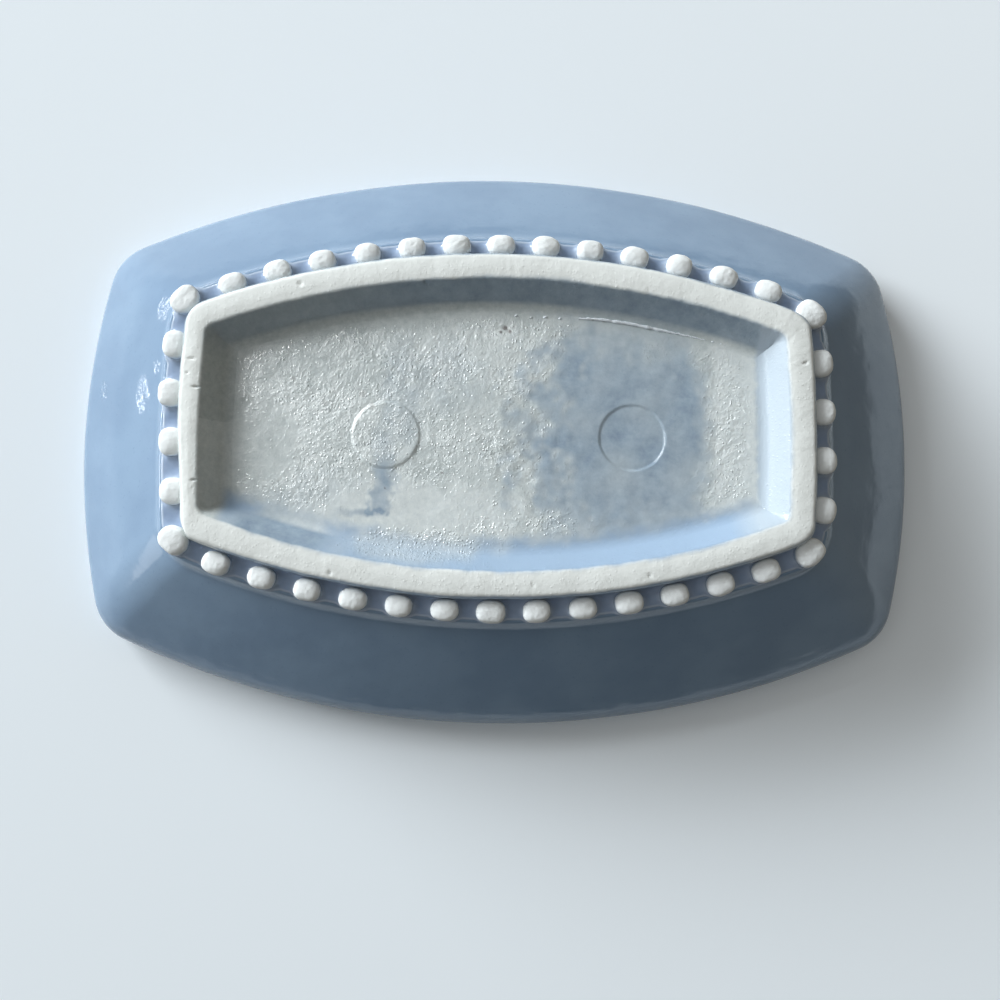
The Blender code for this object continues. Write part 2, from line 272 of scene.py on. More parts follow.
lip = add_node(dish_glaze, "MapRange", {"Value": height, "From Min": 21.6, "From Max": 22.9, "To Max": 0.7},
               interpolation_type="SMOOTHSTEP")
thin = add_node(dish_glaze, "Attribute", {}, "Fac", attribute_name="thin")
lip = add_node(dish_glaze, "Math", {0: lip, 1: thin}, operation="MAXIMUM")
tint = add_node(dish_glaze, "Mix", {0: lip, 6: tint, 7: colour("#c3d0da")}, 2, data_type="RGBA")
uneven = add_node(dish_glaze, "TexNoise", {"Vector": place, "Scale": 0.35, "Detail": 2.0})
bump = add_node(dish_glaze, "Bump", {"Strength": 0.25, "Distance": 0.2 * MM, "Height": uneven})
crawled = add_node(dish_glaze, "Attribute", {}, "Fac", attribute_name="crawled")
curl = add_node(dish_glaze, "TexNoise", {"Vector": place, "Scale": 0.9, "Detail": 3.0, "Roughness": 0.6})
bump = add_node(dish_glaze, "Bump", {"Strength": crawled, "Distance": 0.3 * MM, "Height": curl,
                                     "Normal": bump})
gloss = add_node(dish_glaze, "BsdfPrincipled", {"Base Color": tint, "Roughness": 0.09, "IOR": 1.52,
                                                "Normal": bump})
add_node(dish_glaze, "OutputMaterial", {"Surface": gloss})

wall_start = grown(FOOT, WALL_START_OUT)[:4] + (WALL_START_CORNER,)
cone_end = (CONE_END, wall_rise(CONE_END))
edge_turn = (1.0, wall_rise(CONE_END) + (1 - CONE_END) * (WALL_STEEPNESS + 2 * WALL_CURVE * CONE_END))
wall = []
for step in range(WALL_STEPS):
    run = FILLET_END + (CONE_END - FILLET_END) * step / WALL_STEPS
    wall.append((run, wall_rise(run)))
wall += [corner_between(cone_end, edge_turn, (1.0, 1.0), step / EDGE_STEPS) for step in range(EDGE_STEPS)]
dish_rings = [level(grown(FOOT, -2.0 * MM), SHELL_START_Z),
              level(grown(wall_start, -1.1 * MM), SHELL_START_Z)]
for out, z in GROOVE:
    dish_rings.append(level(grown(wall_start, out * MM), z * MM))
for run, rise in wall:
    dish_rings.append(level(between(wall_start, RIM, run), WALL_START_Z + (LIP_Z - WALL_START_Z) * rise))
for step in range(LIP_STEPS + 1):
    angle = math.pi * step / LIP_STEPS
    outline = grown(RIM, LIP_RADIUS * (math.cos(angle) - 1))
    dish_rings.append(level(outline, LIP_Z + LIP_RADIUS * math.sin(angle)))
for step in range(WELL_STEPS - 1, -1, -1):
    run, rise = well_shares(step / WELL_STEPS)
    outline = between(WELL_FLOOR, grown(RIM, -2 * LIP_RADIUS), run)
    dish_rings.append(level(outline, WELL_FLOOR_Z + (LIP_Z - WELL_FLOOR_Z) * rise))
well_middle = tuple(v * 0.02 for v in WELL_FLOOR)
for share in (0.1, 0.3, 0.6, 0.9):
    dish_rings.append(level(between(WELL_FLOOR, well_middle, share), WELL_FLOOR_Z))
bm = bmesh.new()
crawled_layer = bm.verts.layers.float.new("crawled")
sweep(bm, dish_rings)
for vert in bm.verts:
    if vert.co.z < CRAWLED_BELOW_Z:
        vert[crawled_layer] = max(blot(vert.co.x / MM, vert.co.y / MM, *patch) for patch in CRAWLED_SPOTS)
bmesh.ops.holes_fill(bm, edges=[edge for edge in bm.edges if edge.is_boundary])
bmesh.ops.recalc_face_normals(bm, faces=bm.faces)
swell(bm, 0.06 * MM, 14 * MM, 3.0, lambda place: min(1.0, max(0.0, (place.z - 5.5 * MM) / (4 * MM))))
glazed_dish = finish_piece(bm, "glazed_dish", dish_glaze)
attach(glazed_dish, "root")
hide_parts("dish_body")


# Recess base: the pressed floor inside the foot, which was wiped and took glaze only in patches. It has a
# sandy, sparkling field of pale clay, a smooth blue pool on the right, a blue streak on the left, and a
# raised and a sunk ejector-pin mark.
BASE_Z = 3.6 * MM
BASE_SKIRT = 0.6 * MM
PIN_RADIUS = 4.75 * MM
RAISED_PIN = Vector((-15.5, 1.35)) * MM
SUNK_PIN = Vector((19.45, 1.3)) * MM
PIN_EDGE = 0.12 * MM
SUNK_PIN_EDGE = 0.28 * MM
# In millimetres from here on: how far the pin marks stand out or lie sunk, the floor inside the ring's
# slope, the mesh, which goes on a little under the slope, and where the blue pool starts and stops.
PIN_STEP = 0.15
FLOOR_HALF_X = 37.0
FLOOR_HALF_Y = 16.6
FLOOR_SIDE_RADIUS = 109.5
MESH_HALF_X = 38.6
MESH_HALF_Y = 18.1
POOL_LEFT = (-1.0, 11.0)
POOL_RIGHT = (28.0, 32.0)
POOL_TOP = (-15.5, -8.0)
POOL_BOTTOM = (9.0, 17.5)
# The place, the radius and the darkness of each dark speck.
SPECKS = ((1.2, -14.4, 0.45, 0.8), (1.9, -13.9, 0.35, 0.8), (0.6, -13.8, 0.3, 0.8), (-7.4, 6.7, 0.2, 0.8),
          (-15.4, 9.0, 0.18, 0.7), (35.1, 11.8, 0.4, 0.8), (-18.9, -4.5, 0.7, 0.3), (-17.6, -2.7, 0.6, 0.3),
          (-24.3, -3.1, 0.5, 0.25), (-28.9, -6.6, 0.5, 0.25))


def blue_depth(x, y):
    """How deep the blue glaze lies, from 0 to 1: the pool, the streak with its bar, and faint clouds."""
    mottle = ripple(x, y, 3.0, 5.0) + 0.7 * ripple(x, y, 1.3, 8.0)
    left = ramp(x + 7.0 * mottle - 0.02 * y * y, *POOL_LEFT)
    right = 1 - ramp(x + 1.3 * mottle + 0.012 * y * y, *POOL_RIGHT)
    top = ramp(y + 3.0 * mottle, *POOL_TOP)
    bottom = 1 - ramp(y + 2.5 * mottle, *POOL_BOTTOM)
    pool = left * right * (0.4 + 0.6 * top) * (0.5 + 0.5 * bottom) * (0.84 + 0.3 * ripple(x, y, 5.0, 2.0))
    wander = ripple(0, y, 5.0, 2.0) + 0.9 * ripple(x, y, 1.8, 3.0)
    middle = -13.4 - 0.12 * (y + 12.5) + wander
    tear = 0.9 * ripple(x, y, 1.1, 17.0) + 0.6 * ripple(x, y, 0.5, 19.0)
    streak = 1 - ramp(abs(x - middle) + tear, 0.6, 3.4 - 0.06 * (y + 12.5))
    streak *= ramp(y, -15.0, -9.0) * (1 - ramp(y + tear, 12.2, 13.2)) * (0.28 + 0.55 * ramp(y, 2.5, 8.0))
    streak *= 0.85 + 0.6 * ripple(x, y, 1.5, 15.0)
    bar = 1 - ramp(abs(y - 12.4 + 0.5 * wander) + 0.3 * tear, 0.1, 0.9)
    bar *= ramp(x, -25.0, -17.5) * (1 - ramp(x + 0.5 * tear, -16.6, -15.4))
    clouds = 0.22 * blot(x, y, (-7, -7), (6, 6)) + 0.2 * blot(x, y, (-31, 12.5), (8, 3))
    clouds += 0.25 * blot(x, y, (-13, -1), (3.5, 5)) + 0.15 * blot(x, y, (-24, 9), (6, 3))
    return max(pool, streak + 0.7 * bar, clouds * (0.7 + 0.6 * ripple(x, y, 2.2, 4.0)), 0.0)


def side_of_floor(x):
    """How far the floor's bowed long sides lie from its middle line."""
    return FLOOR_HALF_Y - x * x / (2 * FLOOR_SIDE_RADIUS)


def edge_gap(x, y):
    """How far a place lies inside the floor's edge, where the ring's inner slope starts."""
    return min(side_of_floor(x) - abs(y), FLOOR_HALF_X - abs(x))


def rubbed_share(x, y):
    """How clean the clay was rubbed, from 0 where it is grey and sandy to 1 where it is smooth and pale."""
    share = 0.45 + 0.3 * ripple(x, y, 6.0, 41.0) + 0.25 * ripple(x, y, 2.4, 43.0)
    share += (0.75 * blot(x, y, (-12, 13.5), (17, 6)) + 0.6 * ramp(x, 29.5, 32.5)
              + 0.3 * blot(x, y, (-1, -11), (10, 5)))
    share -= 0.35 * blot(x, y, (-26, -10), (13, 7)) + 0.7 * ramp(-edge_gap(x, y), -0.5, 1.5) * (y < 0)
    return min(1.0, max(0.0, share))


def sand_depth(x, y):
    """How sandy the floor is, from 0 to 1: smooth where wet clay was rubbed and where glaze lies deep."""
    rubbed = max(blot(x, y, (-33, 3), (6, 7)), blot(x, y, (-13, 11.5), (14, 4)))
    frost = 0.9 * blot(x, y, (-11, 17.3), (13, 3.2))
    sand = (1 - 0.8 * rubbed) * (1 - ramp(blue_depth(x, y), 0.2, 0.75))
    sand *= 0.6 + 0.5 * ripple(x, y, 6.0, 11.0)
    return max(sand * ramp(edge_gap(x, y), -0.3, 2.4), frost)


def curds(x, y):
    """How curdled the glaze is, from 0 to 1: at the left and the lower side of the pool."""
    return max(blot(x, y, (5, 1), (6, 15)), 0.7 * blot(x, y, (16, 14), (10, 3)))


def pale_film(x, y):
    """How milky the film of glaze is, from 0 to 1: it is so along the recess's lower and right edges."""
    lower_gap = side_of_floor(x) - y
    lower = ramp(0.8 * ripple(x, y, 3.0, 31.0) + 0.35 * ripple(x, y, 0.9, 33.0) - lower_gap, -1.6, 1.0)
    lower *= ramp(x, -38.8, -37.0)
    kept = ramp(y, 6.0, 9.0) * (1 - 0.85 * blot(x, y, (-30, 15.5), (8, 4)))
    kept *= 1 - 0.5 * blot(x, y, (-11, 17), (13, 3))
    lower *= kept
    right = ramp(x + 0.4 * ripple(x, y, 1.2, 35.0), 36.7, 37.6)
    return max(lower, right)


def fired_clay(material, place):
    """The tint of clay under its film of glaze, from the mesh's own "rubbed", "blue" and "pale" values."""
    sand = add_node(material, "TexNoise", {"Vector": place, "Scale": 1.3, "Detail": 5.0, "Roughness": 0.7})
    sand = add_node(material, "MapRange", {"Value": sand, "From Min": 0.3, "From Max": 0.7})
    grey = add_node(material, "Mix", {0: sand, 6: colour("#b2b9b7"), 7: colour("#ccd0cd")}, 2,
                    data_type="RGBA")
    clean = add_node(material, "Mix", {0: sand, 6: colour("#d3d7d5"), 7: colour("#e6e8e4")}, 2,
                     data_type="RGBA")
    rubbed = add_node(material, "Attribute", {}, "Fac", attribute_name="rubbed")
    tint = add_node(material, "Mix", {0: rubbed, 6: grey, 7: clean}, 2, data_type="RGBA")
    blue = add_node(material, "Attribute", {}, "Fac", attribute_name="blue")
    blotch = add_node(material, "TexNoise", {"Vector": place, "Scale": 0.55, "Detail": 4.0,
                                             "Roughness": 0.65})
    blotch = add_node(material, "MapRange", {"Value": blotch, "From Min": 0.3, "From Max": 0.7})
    deep = add_node(material, "Mix", {0: blotch, 6: colour("#8797a7"), 7: colour("#a5b3be")}, 2,
                    data_type="RGBA")
    tint = add_node(material, "Mix", {0: blue, 6: tint, 7: deep}, 2, data_type="RGBA")
    end = add_node(material, "SeparateXYZ", {0: place}, "X")
    end = add_node(material, "MapRange", {"Value": end, "From Min": 33.0, "From Max": 37.0})
    milk = add_node(material, "Mix", {0: end, 6: colour("#9fb3c8"), 7: colour("#b9c3cb")}, 2,
                    data_type="RGBA")
    pale = add_node(material, "Attribute", {}, "Fac", attribute_name="pale")
    return add_node(material, "Mix", {0: pale, 6: tint, 7: milk}, 2, data_type="RGBA"), blue


def fired_grains(material, place):
    """A bump of grains, 0.4 mm apart and of mixed height, and of grit, as deep as the mesh's "sand" says."""
    grains = add_node(material, "TexVoronoi", {"Vector": place, "Scale": 2.5}).node
    crest = add_node(material, "MapRange", {"Value": grains.outputs["Distance"], "From Min": 0.05,
                                            "From Max": 0.5, "To Min": 1.0, "To Max": 0.0},
                     interpolation_type="SMOOTHSTEP")
    tall = add_node(material, "SeparateColor", {0: grains.outputs["Color"]}, "Red")
    tall = add_node(material, "Math", {0: tall, 1: 2.0}, operation="POWER")
    crest = add_node(material, "Math", {0: crest, 1: tall}, operation="MULTIPLY")
    grit = add_node(material, "TexNoise", {"Vector": place, "Scale": 2.0, "Detail": 4.0, "Roughness": 0.65})
    crest = add_node(material, "Math", {0: grit, 1: 1.2, 2: crest}, operation="MULTIPLY_ADD")
    sand = add_node(material, "Attribute", {}, "Fac", attribute_name="sand")
    return add_node(material, "Bump", {"Strength": sand, "Distance": 0.13 * MM, "Height": crest})


# Pressed stoneware, wiped and fired under a broken film of glaze: its grains sparkle where it is bare, and
# the film shines smooth and blue where it is deep. A few iron specks show dark in it.
base_clay, place = new_material("pressed_clay_with_glaze_patches")
tint, blue = fired_clay(base_clay, place)
speck = add_node(base_clay, "Attribute", {}, "Fac", attribute_name="speck")
tint = add_node(base_clay, "Mix", {0: speck, 6: tint, 7: colour("#5f5450")}, 2, data_type="RGBA")
dull = add_node(base_clay, "Attribute", {}, "Fac", attribute_name="dull")
dull = add_node(base_clay, "MapRange", {"Value": dull, "To Min": 0.16, "To Max": 0.26})
shine = add_node(base_clay, "MapRange", {"Value": blue, "From Max": 0.7, "To Min": dull, "To Max": 0.13})
grains = fired_grains(base_clay, place)
gloss = add_node(base_clay, "BsdfPrincipled", {"Base Color": tint, "Roughness": shine, "IOR": 1.5,
                                               "Normal": grains})
add_node(base_clay, "OutputMaterial", {"Surface": gloss})

bm = bmesh.new()
layers = bm.verts.layers.float
blue_layer = layers.new("blue")
speck_layer = layers.new("speck")
pale_layer = layers.new("pale")
sand_layer = layers.new("sand")
rubbed_layer = layers.new("rubbed")
dull_layer = layers.new("dull")
bmesh.ops.create_grid(bm, x_segments=430, y_segments=205, size=1.0)
for vert in bm.verts:
    x = vert.co.x * MESH_HALF_X
    y = vert.co.y * (MESH_HALF_Y - (FLOOR_SIDE_RADIUS - math.sqrt(FLOOR_SIDE_RADIUS ** 2 - x * x)))
    point = Vector((x, y)) * MM
    sand_here = sand_depth(x, y)
    vert[blue_layer] = blue_depth(x, y)
    vert[pale_layer] = pale_film(x, y)
    vert[rubbed_layer] = rubbed_share(x, y)
    vert[sand_layer] = 0.12 + 0.88 * sand_here
    vert[dull_layer] = ramp(edge_gap(x, y), 0.3, 4.0)
    vert[speck_layer] = max(dark * (1 - ramp(math.hypot(x - at_x, y - at_y), 0.5 * radius, radius))
                            for at_x, at_y, radius, dark in SPECKS)
    lumps = 0.05 * ripple(x, y, 1.1, 6.0) + 0.03 * ripple(x, y, 0.6, 9.0)
    waves = 0.05 * ripple(x, y, 4.0) + 0.03 * ripple(x, y, 1.8, 3.0)
    waves += 0.09 * ripple(x, y, 1.7, 23.0) * curds(x, y)
    z = BASE_Z - MM * (sand_here * lumps + waves * ramp(edge_gap(x, y), 0.0, 2.0))
    raised = 1 - ramp((point - RAISED_PIN).length, PIN_RADIUS - PIN_EDGE, PIN_RADIUS + PIN_EDGE)
    sunk = 1 - ramp((point - SUNK_PIN).length, PIN_RADIUS - SUNK_PIN_EDGE, PIN_RADIUS + PIN_EDGE)
    vert.co = (point.x, point.y, z + MM * (PIN_STEP * sunk - PIN_STEP * raised))
outer_edges = [item for item in bm.edges if item.is_boundary]
made = bmesh.ops.extrude_edge_only(bm, edges=outer_edges)["geom"]
skirt_verts = [item for item in made if isinstance(item, bmesh.types.BMVert)]
bmesh.ops.translate(bm, vec=(0, 0, BASE_SKIRT), verts=skirt_verts)
bmesh.ops.holes_fill(bm, edges=[item for item in made if isinstance(item, bmesh.types.BMEdge)])
recess_base = finish_piece(bm, "recess_base", base_clay)
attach(recess_base, "root")
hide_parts("dish_body")


# Glaze run: a thin wavy thread of glaze that was left along the upper edge of the recess, where the wiping
# sponge stopped. It stands up from the floor and shines pale, with a few drops past both of its ends and one
# at the right end of the recess. Their near-white tint is partly painted highlight, the glint they catch.
#
# The thread's points, then the place and the radius of each drop, in millimetres.
RUN_POINTS = ((11.8, -15.9), (13.4, -15.9), (15.4, -15.75), (17.6, -15.45), (19.8, -15.15), (22.0, -14.7),
              (24.2, -14.25), (26.2, -13.85), (28.2, -13.45), (30.0, -13.0))
RUN_DROPS = ((31.0, -12.8, 0.16), (32.2, -12.5, 0.13), (9.1, -15.9, 0.18), (7.0, -16.1, 0.22),
             (4.9, -16.0, 0.16), (2.8, -16.2, 0.2), (38.2, 11.3, 0.42))
RUN_STEPS = 80
RUN_WANDER = 0.16
RUN_HEIGHT = 1.3
# Thick glaze that gathered into a thread and was fired glossy, a little bluer in streaks. Its near-white
# tint is partly painted highlight, the glint that the thread catches.
run_glaze_and_painted_glint, place = new_material("thread_of_white_glaze")
streaks = add_node(run_glaze_and_painted_glint, "TexNoise", {"Vector": place, "Scale": 1.2, "Detail": 2.0})
tint = add_node(run_glaze_and_painted_glint, "Mix", {0: streaks, 6: colour("#e4e9ee"), 7: colour("#fbfcfd")}, 2,
                data_type="RGBA")
gloss = add_node(run_glaze_and_painted_glint, "BsdfPrincipled", {"Base Color": tint, "Roughness": 0.16, "IOR": 1.52})
add_node(run_glaze_and_painted_glint, "OutputMaterial", {"Surface": gloss})


def run_ring(share, size):
    """An upright oval ring at a share of the way along the thread; `size` is its half width in mm."""
    along = share * (len(RUN_POINTS) - 1)
    first = min(int(along), len(RUN_POINTS) - 2)
    start, stop = Vector(RUN_POINTS[first]), Vector(RUN_POINTS[first + 1])
    middle = start.lerp(stop, along - first) + Vector((0, RUN_WANDER * ripple(along * 1.7, 0, 0.4, 51.0)))
    across = Vector((start.y - stop.y, stop.x - start.x)).normalized()

    def place_at(turn):
        angle = turn * math.pi / 2
        side = middle + across * (size * math.cos(angle))
        return Vector((side.x, side.y, BASE_Z / MM + 0.02 - RUN_HEIGHT * size * math.sin(angle))) * MM
    return place_at


bm = bmesh.new()
run_rings = []
for step in range(RUN_STEPS + 1):
    share = step / RUN_STEPS
    size = 0.25 + 0.13 * ripple(share * 27, 0, 1.0, 53.0)
    size *= math.sin(math.pi * (0.04 + 0.92 * share)) ** 0.3
    size *= 1 - 0.45 * ramp(share, 0.55, 0.8)
    run_rings.append(run_ring(share, size))
sweep(bm, run_rings, 12)
bmesh.ops.holes_fill(bm, edges=[item for item in bm.edges if item.is_boundary])
for x, y, size in RUN_DROPS:
    oval = Matrix.Translation(Vector((x, y, BASE_Z / MM)) * MM) @ Matrix.Diagonal((1.3, 0.9, 0.9, 1))
    bmesh.ops.create_icosphere(bm, subdivisions=3, radius=size * MM, matrix=oval)
glaze_run = finish_piece(bm, "glaze_run", run_glaze_and_painted_glint)
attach(glaze_run, "root")
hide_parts("dish_body")


# Foot ring: the frame that the dish stands on, part of the same clay. Its face was wiped bare of glaze by
# hand before the firing, which leaves a slight crown, round wavy arrises, dents, and a film of glaze on its
# slopes.
FOOT_INSIDE = tuple(v * MM for v in (40.6, 20.15, 113.0, 196.6, 1.2))
RING_GROWTH = 0.25 * MM
ARRIS = 0.8 * MM
RING_WIDTH = 3.65 * MM
# The worn crown: how far it falls, over what distance, and its crest as a share of the ring's width.
CROWN = 0.16 * MM
CROWN_REACH = 2.0 * MM
CREST = 0.53
SLOPE = math.radians(52)
FILLET = 2.2 * MM
END_SHIFT = 0.6 * MM
FILM_LEAD = 0.14
# The rows of the mesh between which the face turns into the inner side.
INNER_SIDE_ROWS = (18, 23)
FINE_STEPS = 1200
DENT_DEPTH = 0.2 * MM
# The place and the half sizes of each dent, in millimetres.
DENTS = ((-42.4, -8.4, 0.8, 0.25), (-41.6, -4.4, 0.9, 0.25), (-41.3, 8.6, 0.7, 0.2), (-42.9, -6.4, 0.3, 0.2),
         (-27.6, -19.3, 0.6, 0.4), (-10.0, -19.9, 0.35, 0.35), (-39.3, -19.2, 0.3, 0.3),
         (21.4, 20.9, 0.35, 0.3), (-22.2, 21.1, 0.4, 0.3), (42.8, -9.0, 0.3, 0.3), (5.5, 22.3, 0.3, 0.3))
# White clay, wiped with a sponge and fired bare: a chalky, fine-grained face. A glossy film of glaze starts
# down its slopes with a ragged edge, which lies FILM_LEAD millimetres closer to the face on the inner side.
ring_clay, place = new_material("wiped_white_clay")
height = add_node(ring_clay, "SeparateXYZ", {0: place}, "Z")
ragged = add_node(ring_clay, "TexNoise", {"Vector": place, "Scale": 0.4, "Detail": 3.0, "Roughness": 0.55})
ragged = add_node(ring_clay, "Math", {0: ragged, 1: 0.25, 2: height}, operation="MULTIPLY_ADD")
inner_side = add_node(ring_clay, "Attribute", {}, "Fac", attribute_name="inner_side")
ragged = add_node(ring_clay, "Math", {0: inner_side, 1: FILM_LEAD, 2: ragged}, operation="MULTIPLY_ADD")
filmed = add_node(ring_clay, "MapRange", {"Value": ragged, "From Min": 0.26, "From Max": 0.56},
                  interpolation_type="SMOOTHSTEP")
grit = add_node(ring_clay, "TexNoise", {"Vector": place, "Scale": 1.6, "Detail": 5.0, "Roughness": 0.7})
bare = add_node(ring_clay, "Mix", {0: grit, 6: colour("#e9e9e2"), 7: colour("#faf9f4")}, 2, data_type="RGBA")
# The film's deep blue on the upper slope is partly painted shade.
under, blue = fired_clay(ring_clay, place)
tint = add_node(ring_clay, "Mix", {0: filmed, 6: bare, 7: under}, 2, data_type="RGBA")
shine = add_node(ring_clay, "MapRange", {"Value": filmed, "To Min": 0.48, "To Max": 0.16})
grains = fired_grains(ring_clay, place)
gloss = add_node(ring_clay, "BsdfPrincipled", {"Base Color": tint, "Roughness": shine, "IOR": 1.5,
                                               "Normal": grains})
add_node(ring_clay, "OutputMaterial", {"Surface": gloss})


def slope_blue_and_painted_shade(x, y):
    """How blue the ring's inner slopes' film is: deep on the upper, partly painted shade; streaked on the
    lower.
    """
    # The upper slope lies in shade, and its deep blue is partly the glaze and partly painted shade.
    upper = ramp(-y + 1.5 * ripple(x, y, 5.0, 19.0), 8.0, 14.0) * (0.45 + 0.4 * ramp(x, -30.0, -8.0))
    streaked = 0.25 + 0.8 * blot(x, y, (-29, 15), (8, 5)) + 0.25 * ripple(x, y, 4.0, 13.0)
    lower = ramp(y, 8.0, 15.0) * ramp(x, -38.5, -35.0) * streaked
    right = ramp(x, 36.0, 38.0) * (0.1 + 0.3 * ripple(x, y, 2.0, 17.0))
    return min(1.0, max(0.0, upper, lower, right))


def crown(inset):
    """How far the ring's worn face falls back at `inset` from its outer edge."""
    return CROWN * ramp(abs(inset - CREST * RING_WIDTH), 0.0, CROWN_REACH)


foot_outside = grown(FOOT, RING_GROWTH)
edge_outside = grown(foot_outside, -ARRIS)
edge_inside = grown(FOOT_INSIDE, ARRIS)
ring_rings = [level(foot_outside, z * MM) for z in (4.2, 3.6, 2.6, 1.7)]
for step in range(9):
    angle = math.pi / 2 * step / 8
    inset = ARRIS * (1 - math.cos(angle))
    ring_rings.append(level(grown(foot_outside, -inset), ARRIS * (1 - math.sin(angle)) + crown(inset)))
for step in range(1, 10):
    outline = between(edge_outside, edge_inside, step / 10)
    ring_rings.append(level(outline, crown(ARRIS + (RING_WIDTH - 2 * ARRIS) * step / 10)))
for step in range(9):
    angle = SLOPE * step / 8
    fall = ARRIS * (1 - math.cos(angle)) + crown(RING_WIDTH - ARRIS + ARRIS * math.sin(angle))
    ring_rings.append(level(grown(edge_inside, -ARRIS * math.sin(angle)), fall))
slope_start = grown(edge_inside, -ARRIS * math.sin(SLOPE))
slope_low, slope_high = fall, BASE_Z - FILLET * (1 - math.cos(SLOPE))
for step in range(1, 11):
    drop = (slope_high - slope_low) * step / 10
    ring_rings.append(level(grown(slope_start, -drop / math.tan(SLOPE)), slope_low + drop))
foot_of_slope = grown(slope_start, -drop / math.tan(SLOPE) - FILLET * math.sin(SLOPE))
for step in range(1, 13):
    angle = SLOPE * (1 - step / 12)
    outline = grown(foot_of_slope, FILLET * math.sin(angle))
    ring_rings.append(level(outline, BASE_Z - FILLET * (1 - math.cos(angle))))
ring_rings.append(level(grown(foot_of_slope, -0.4 * MM), BASE_Z + 0.1 * MM))
ring_rings.append(level(grown(foot_of_slope, 0.5 * MM), 4.2 * MM))
ring_rings.append(ring_rings[0])
bm = bmesh.new()
layers = bm.verts.layers.float
inner_layer = layers.new("inner_side")
sweep(bm, ring_rings, FINE_STEPS)
row_layer = layers["row"]
for vert in bm.verts:
    vert[inner_layer] = ramp(vert[row_layer], *INNER_SIDE_ROWS) * (vert[row_layer] < len(ring_rings) - 1)
bmesh.ops.remove_doubles(bm, verts=bm.verts, dist=DOUBLES)
bmesh.ops.recalc_face_normals(bm, faces=bm.faces)
swell(bm, 0.10 * MM, 9 * MM, 1.0, lambda place: 1 - ramp(place.z, 2 * MM, 3.3 * MM))
swell(bm, 0.045 * MM, 2.6 * MM, 2.0, lambda place: 1 - ramp(place.z, 1 * MM, 2 * MM))
swell(bm, 0.02 * MM, 0.7 * MM, 5.0, lambda place: 1 - ramp(place.z, 1 * MM, 2 * MM))
blue_layer = layers.new("blue")
pale_layer = layers.new("pale")
sand_layer = layers.new("sand")
rubbed_layer = layers.new("rubbed")
for vert in bm.verts:
    x, y, z = vert.co / MM
    at_floor = ramp(z, 2.9, 3.5)
    # The blue on the upper slope is partly painted shade.
    vert[blue_layer] = slope_blue_and_painted_shade(x, y) * (1 - at_floor) + blue_depth(x, y) * at_floor
    vert[pale_layer] = pale_film(x, y)
    vert[rubbed_layer] = rubbed_share(x, y)
    vert.co.x += END_SHIFT * (ramp(x, 41.6, 43.6) + ramp(-x, 41.6, 43.6) * ramp(y, -4.0, 12.0))
    vert[sand_layer] = max(0.25, sand_depth(x, y) * ramp(z, 0.7, 1.4))
    if z < 2:
        dent = max(1 - ramp(math.hypot((x - dx) / dent_x, (y - dy) / dent_y), 0.2, 1.0)
                   for dx, dy, dent_x, dent_y in DENTS)
        vert.co -= vert.normal * (DENT_DEPTH * dent)
wiped_foot_ring = finish_piece(bm, "wiped_foot_ring", ring_clay)
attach(wiped_foot_ring, "root")
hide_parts("foot_ring")


# Pearl band: the narrow ledge around the foot that carries the pearls. The glaze fills it like a moat: it
# climbs around each pearl and against the ring, lies hollow between them, and runs thin and pale over the
# waved edge.
BAND_Z = 3.45 * MM
BAND_MARGIN = 0.12 * MM
BAND_WAVE = 0.62 * MM
BAND_ARRIS = 0.35 * MM
BAND_LEAST = 3.2 * MM
# How far out from the foot the innermost rings of the ledge lie, and how far in from its edge the others do.
LEDGE_OUT = (0.1, 0.3, 0.5, 0.7, 0.9)
LEDGE_IN = (2.15, 1.9, 1.65, 1.4, 1.2, 1.0, 0.8, 0.6, 0.45)
PEARL_HALF = {"side": Vector((1.98, 1.58)) * MM, "end": Vector((1.98, 1.75)) * MM,
              "corner": Vector((2.25, 1.65)) * MM}
# How far each row and each corner pearl has crept from its even place, in millimetres, and how much the long
# rows are stretched.
ROW_CREEP = {"front": (0.5, 0.0), "back": (-0.25, 0.0), "left": (0.1, -0.5), "right": (0.3, 0.95),
             "corner_front_left": (-0.4, -0.2), "corner_front_right": (0.8, 0.7),
             "corner_back_left": (-0.4, -0.5), "corner_back_right": (0.0, 0.0)}
ROW_STRETCH = {"front": 0.012, "back": 0.008}
LEFT_ROW_LEAN = 0.75


def crept(name, middle):
    """Where a pearl really lies: the rows wander by up to about 1.1 mm from even spacing."""
    row = name.replace("bead_", "")
    if row not in ROW_CREEP:
        row = row.rsplit("_", 1)[0]
    x, y = ROW_CREEP[row]
    stretch = ROW_STRETCH.get(row, 0.0)
    if row == "left":
        x += LEFT_ROW_LEAN * ramp(middle.y / MM, -4.0, 9.5)
    return Vector((middle.x + x * MM + stretch * middle.x, middle.y + y * MM))


pearls = []
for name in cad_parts:
    if name.startswith("bead_") and name != "bead_band":
        low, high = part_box(name)
        middle = crept(name, (low + high).to_2d() / 2)
        kind = "corner" if "corner" in name else "end" if "left" in name or "right" in name else "side"
        pearls.append((name, middle, PEARL_HALF[kind]))
pearls.sort(key=lambda pearl: math.atan2(pearl[1].y / FOOT[1], pearl[1].x / FOOT[0]))
pearl_ways = []
for number, (name, middle, _) in enumerate(pearls):
    along = (pearls[(number + 1) % len(pearls)][1] - pearls[number - 1][1]).normalized()
    if "corner" in name:
        along = Vector((-middle.y / abs(middle.y), middle.x / abs(middle.x))).normalized()
    pearl_ways.append(along)


def pearl_gap(place):
    """How far a place lies from the foot of the nearest pearl, in millimetres; negative inside it."""
    best = 100.0
    for (_, middle, half), along in zip(pearls, pearl_ways):
        away = place - middle
        if away.length < 6 * MM:
            far = math.hypot(away.dot(along) / half.x, away.cross(along) / half.y)
            best = min(best, (far - 1) * (away.length / max(far, 0.01)) / MM)
    return best


